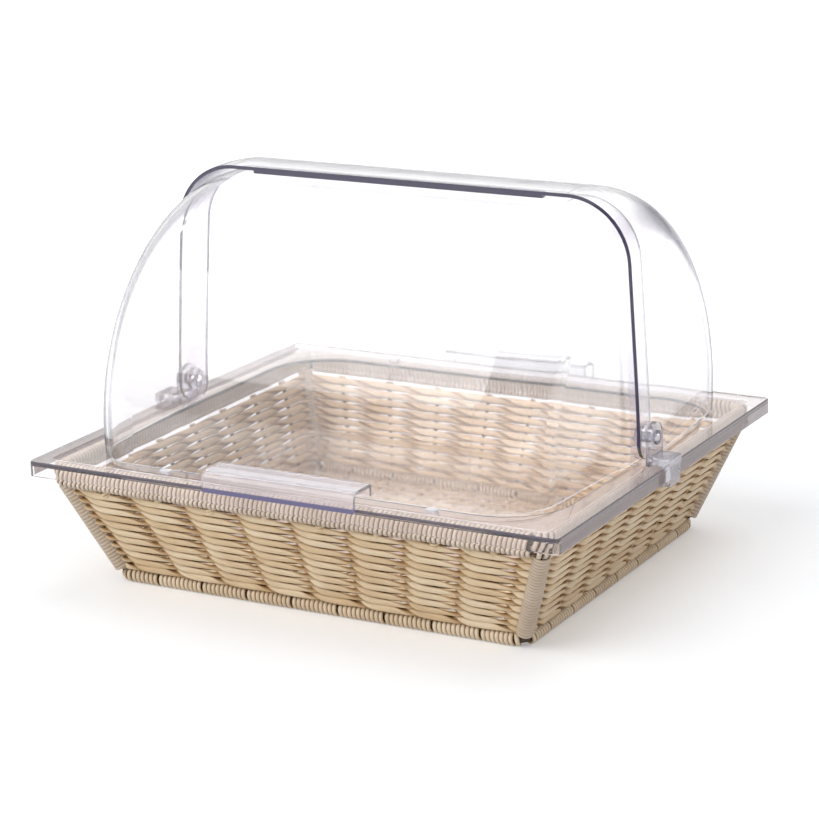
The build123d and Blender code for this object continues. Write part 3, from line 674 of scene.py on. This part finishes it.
def post_wrap(corner):
    """Strand wound round a corner post, over a bundle of upright strands."""
    sx = 1 if "right" in corner else -1
    sy = 1 if "rear" in corner else -1
    foot, head = (Vector((sx * post_place("front", z), sy * post_place("right", z), z))
                  for z in (FOOT_Z, TOP_Z + POST_HEAD))
    lo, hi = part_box(f"post_wrap_{corner}")
    r = POST_DRAWN * (hi[0] - lo[0] - abs(post_place("front", TOP_Z) - post_place("front", FOOT_Z))) / 2
    strands = Strands(sides=8)
    coil(strands, foot, head, (-sx, -sy, 0), r, POST_PITCH, POST_THICK, POST_FILL, steps=20)
    core_r = (r - POST_THICK) * 0.5 + 1.0 * MM
    for step in range(POST_CORE):
        a = 2 * pi * step / POST_CORE
        shift = Vector((cos(a), sin(a), 0)) * core_r
        line = np.array([tuple(foot + (head - foot) * k / 6 + shift) for k in range(7)])
        strands.add(line, np.tile([cos(a), sin(a), 0.0], (7, 1)), POST_CORE_WIDTH, POST_CORE_THICK)
    return strands.build(f"wound_post_{corner}", "basket", POST_STRAND, f"post_wrap_{corner}")


def rim_ties(side):
    """Short winding round the head of each stake, every other one smaller."""
    strands = Strands(sides=8)
    for i in range(BAYS[side] - 1):
        share = 2 * (i + 1) / BAYS[side] - 1
        size = 1.0 if i % 2 == 0 else TIE_SMALL
        z0, z1 = TOP_Z - TIE_H * size, TOP_Z + TIE_OVER
        out = wall_out(side, TOP_Z) - WALL_T / 2 + TIE_OUT * size
        a, b, way = turned([[share * wall_run(side, z0), out - TIE_LEAN, z0],
                            [share * wall_run(side, z1), out, z1], [0, -1, 0]], side)
        coil(strands, a, b, way, TIE_R * size + TIE_WALL, TIE_PITCH, TIE_THICK, 1.0)
    return strands.build(f"rim_ties_{side}", "basket", WALL_STRAND)


def woven_floor():
    """Plain weave: strands along X over and under strands along Y."""
    lo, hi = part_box("basket_floor")
    mid = (lo[2] + hi[2]) / 2
    lift = FLOOR_THICK * 0.5
    cross = np.arange(lo[0] + 8 * MM, hi[0] - 4 * MM, FLOOR_CROSS)
    cross = cross + (hi[0] + lo[0] - cross[0] - cross[-1]) / 2
    rows = np.arange(lo[1] + 3.4 * MM, hi[1] - 2 * MM, FLOOR_PITCH)
    rows = rows + (hi[1] + lo[1] - rows[0] - rows[-1]) / 2
    strands = Strands(sides=8)
    for i, y in enumerate(rows):
        x = np.linspace(lo[0] + 1 * MM, hi[0] - 1 * MM, len(cross) * 6)
        turn = pi * (x - cross[0]) / FLOOR_CROSS + pi * (i % 2)
        points = np.stack([x, y + wobble(x, 80 * MM, 0.2 * MM), mid + lift * np.cos(turn)], -1)
        strands.add(points, np.tile([0.0, 0.0, 1.0], (len(x), 1)), FLOOR_STRAND, FLOOR_THICK)
    for j, x0 in enumerate(cross):
        y = np.linspace(lo[1] + 1 * MM, hi[1] - 1 * MM, len(rows) * 4)
        turn = pi * (y - rows[0]) / FLOOR_PITCH + pi * (j % 2)
        points = np.stack([np.full_like(y, x0), y, mid - lift * np.cos(turn)], -1)
        strands.add(points, np.tile([0.0, 0.0, 1.0], (len(y), 1)), FLOOR_STRAND * 0.7, FLOOR_THICK)
    return strands.build("woven_floor", "basket", WALL_STRAND, "basket_floor")


for wall_side in WALLS:
    woven_wall(wall_side)
    rim_wrap(wall_side)
    base_wrap(wall_side)
    rim_ties(wall_side)
for corner_name in CORNERS:
    post_wrap(corner_name)
woven_floor()


# ---------------------------------------------------------------- carried-over nodes
def dress(material, *names):
    """Gives carried-over nodes their material."""
    for name in names:
        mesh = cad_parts[name].data
        mesh.materials.clear()
        mesh.materials.append(material)


dress(STEEL, "base_ring", "rim_ring", "lower_rim_ring", "floor_wires",
      *[f"stakes_{s}" for s in WALLS], *[f"corner_post_{c}" for c in CORNERS])
dress(CLEAR_TRAY, "tray")
dress(CLEAR_REAR, "rear_cover")
dress(CLEAR_FRONT, "front_cover")
dress(CLEAR_GRIP, "front_grip")
dress(CLEAR_REAR_GRIP, "rear_grip")
dress(CLEAR_FITTING, "hinge_bracket_left", "hinge_bracket_right", "hinge_pin_left", "hinge_pin_right")
dress(CLEAR_PAD, *[f"rest_pad_{c}" for c in CORNERS])


# ---------------------------------------------------------------- floor, light and camera
FLOOR_LIFT = 0.23             # light added to the floor where it is seen, so that its white is plain
WHITE_FROM = (0.45, 0.95)     # m from the middle: the floor turns plain white between these
FLOOR_REACH = 12.0            # m from the middle to each edge
WORLD_LIGHT = 0.45            # soft light from all round
LIT_PLACE = (0, 0, 0.1)
LAMPS = (                     # name, place, width in m, power in W
    ("key", (-1.5, -2.1, 2.3), 3.0, 56),
    ("fill", (2.4, -1.6, 1.6), 2.0, 4),
    ("top", (0.3, 1.2, 2.8), 2.4, 22))


def seen_directly(tree):
    """1 for rays that show a surface to the viewer, straight or by way of glass or gloss."""
    path = tree.nodes.new("ShaderNodeLightPath")
    seen = math(tree, "MAXIMUM", path.outputs["Is Camera Ray"], path.outputs["Is Glossy Ray"])
    return math(tree, "MAXIMUM", seen, path.outputs["Is Transmission Ray"])


def pale_floor():
    """White surface that keeps the object's shadow and turns plain white further out."""
    mesh = bpy.data.meshes.new("floor")
    far = FLOOR_REACH
    mesh.from_pydata([(-far, -far, 0), (far, -far, 0), (far, far, 0), (-far, far, 0)], [], [(0, 1, 2, 3)])
    mat, tree, out, shader = new_material("pale_floor")
    place = tree.nodes.new("ShaderNodeTexCoord").outputs["Object"]
    drift = node(tree, "ShaderNodeTexNoise", Scale=3.0, Detail=2.0)
    tree.links.new(place, drift.inputs["Vector"])
    colour = ramp(tree, drift.outputs[0], (0.3, (0.90, 0.905, 0.91)), (0.7, (0.92, 0.925, 0.93)))
    tree.links.new(colour, shader.inputs["Base Color"])
    shader.inputs["Roughness"].default_value = 0.6
    shader.inputs["Specular IOR Level"].default_value = 0.2
    away = node(tree, "ShaderNodeVectorMath", operation="LENGTH")
    tree.links.new(place, away.inputs[0])
    white = ramp(tree, math(tree, "MULTIPLY", away.outputs["Value"], 1.0 / WHITE_FROM[1]),
                 (WHITE_FROM[0] / WHITE_FROM[1], (FLOOR_LIFT, FLOOR_LIFT, FLOOR_LIFT)), (1.0, (1, 1, 1)))
    glow = tree.nodes.new("ShaderNodeEmission")
    tree.links.new(mix_colour(tree, seen_directly(tree), (0.0, 0.0, 0.0), white), glow.inputs[0])
    add = tree.nodes.new("ShaderNodeAddShader")
    tree.links.new(shader.outputs[0], add.inputs[0])
    tree.links.new(glow.outputs[0], add.inputs[1])
    tree.links.new(add.outputs[0], out.inputs[0])
    mesh.materials.append(mat)
    obj = bpy.data.objects.new("floor", mesh)
    bpy.context.scene.collection.objects.link(obj)


def area_light(name, place, size, power):
    """Round soft lamp, turned to LIT_PLACE."""
    data = bpy.data.lights.new(name, "AREA")
    data.shape = "DISK"
    data.size = size
    data.energy = power
    obj = bpy.data.objects.new(name, data)
    obj.location = place
    obj.rotation_mode = "QUATERNION"
    obj.rotation_quaternion = (Vector(LIT_PLACE) - Vector(place)).to_track_quat("-Z", "Y")
    bpy.context.scene.collection.objects.link(obj)


def world_light():
    """Soft light on the object, and plain white where the surroundings are seen."""
    world = bpy.data.worlds.new("studio")
    world.use_nodes = True
    tree = world.node_tree
    tree.nodes.clear()
    out = tree.nodes.new("ShaderNodeOutputWorld")
    soft = node(tree, "ShaderNodeBackground", Color=(0.93, 0.95, 1.0, 1), Strength=WORLD_LIGHT)
    white = node(tree, "ShaderNodeBackground", Color=(1, 1, 1, 1), Strength=1.0)
    mix = tree.nodes.new("ShaderNodeMixShader")
    tree.links.new(seen_directly(tree), mix.inputs[0])
    tree.links.new(soft.outputs[0], mix.inputs[1])
    tree.links.new(white.outputs[0], mix.inputs[2])
    tree.links.new(mix.outputs[0], out.inputs[0])
    bpy.context.scene.world = world


def camera():
    """The fitted camera: VIEW_TARGET seen from VIEW_DISTANCE, with the photograph's slight roll."""
    data = bpy.data.cameras.new("camera")
    data.sensor_width = 36.0
    data.lens = VIEW_LENS
    data.clip_start = 0.05
    data.clip_end = 60.0
    obj = bpy.data.objects.new("camera", data)
    a, e = VIEW_AZIMUTH, VIEW_ELEVATION
    back = Vector((sin(a) * cos(e), -cos(a) * cos(e), sin(e)))
    right = Vector((cos(a), sin(a), 0))
    up = back.cross(right)
    right, up = right * cos(VIEW_ROLL) + up * sin(VIEW_ROLL), up * cos(VIEW_ROLL) - right * sin(VIEW_ROLL)
    turn = Matrix((right, up, back)).transposed()
    obj.matrix_world = Matrix.Translation(VIEW_TARGET + back * VIEW_DISTANCE) @ turn.to_4x4()
    bpy.context.scene.collection.objects.link(obj)
    bpy.context.scene.camera = obj


pale_floor()
world_light()
for lamp in LAMPS:
    area_light(*lamp)
camera()
bpy.context.scene.view_settings.view_transform = "Standard"
